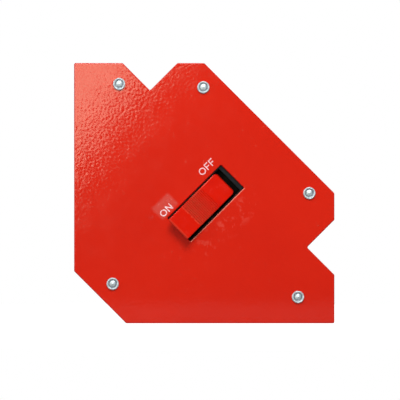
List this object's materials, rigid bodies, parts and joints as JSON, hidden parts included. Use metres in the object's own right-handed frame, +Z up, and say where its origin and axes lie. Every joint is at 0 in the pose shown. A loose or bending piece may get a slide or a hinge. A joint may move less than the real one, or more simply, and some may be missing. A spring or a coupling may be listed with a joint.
{
  "type": "welding magnet holder",
  "caption": "Flat angle block with two steel pole plates and a diagonal rocker switch that slides inner magnets to hold steel at 90 or 45 degrees; V notches seat tubes.",
  "frame": {"origin": "middle of the base edge's length and of the whole depth, from the raised switch tab to the rivet tails, on the surface that the base edge stands on", "axes": "+X along the base edge, away from the right-angle corner; +Y through the thickness, from the switch side to the back; +Z up the upright edge"},
  "size_m": [0.11, 0.0286, 0.11],
  "materials": {
    "red_paint": "glossy hammered enamel on steel",
    "zinc": "bright zinc plate, spun heads",
    "steel": "ground",
    "red_plastic": "glossy, with a matt ribbed thumb rest",
    "black_plastic": "moulded",
    "white_plastic": "acetal, moulded",
    "foam": "closed-cell foam",
    "ferrite": "ground ceramic magnet",
    "nickel": "nickel-plated magnet",
    "brass": "rolled sheet"
  },
  "bodies": {
    "holder": {"front_plate": "red_paint", "rear_plate": "red_paint", "plate_rivets": "zinc", "rivet_sleeves": "zinc", "core_front_half": "black_plastic", "core_rear_half": "black_plastic", "base_edge_magnet": "ferrite", "upright_edge_magnet": "ferrite", "bevel_edge_magnet": "ferrite", "front_pole_bars": "steel", "rear_pole_bars": "steel", "guide_rods": "steel", "switch_housing": "black_plastic", "switch_gasket": "foam", "pivot_pin": "steel"},
    "rocker": {"rocker_lever": "red_plastic", "drive_peg": "steel"},
    "carriage": {"carriage_frame": "white_plastic", "fork_plates": "steel", "upper_slide_magnets": "nickel", "lower_slide_magnets": "nickel", "glide_sheets": "brass"}
  },
  "joints": [
    {"name": "carriage_slide", "type": "slide", "parent": "holder", "child": "carriage", "axis": [0.7071, 0, 0.7071], "range_m": [0, 0.0027]},
    {"name": "rocker_tilt", "type": "hinge", "parent": "holder", "child": "rocker", "pos_m": [-0.00103, -0.0044, 0.04917], "axis": [0.7071, 0, -0.7071], "range_deg": [0, 12]}
  ],
  "couplings": [
    {"joint": "rocker_tilt", "follows": "carriage_slide", "rad_per_m": 77.65}
  ]
}
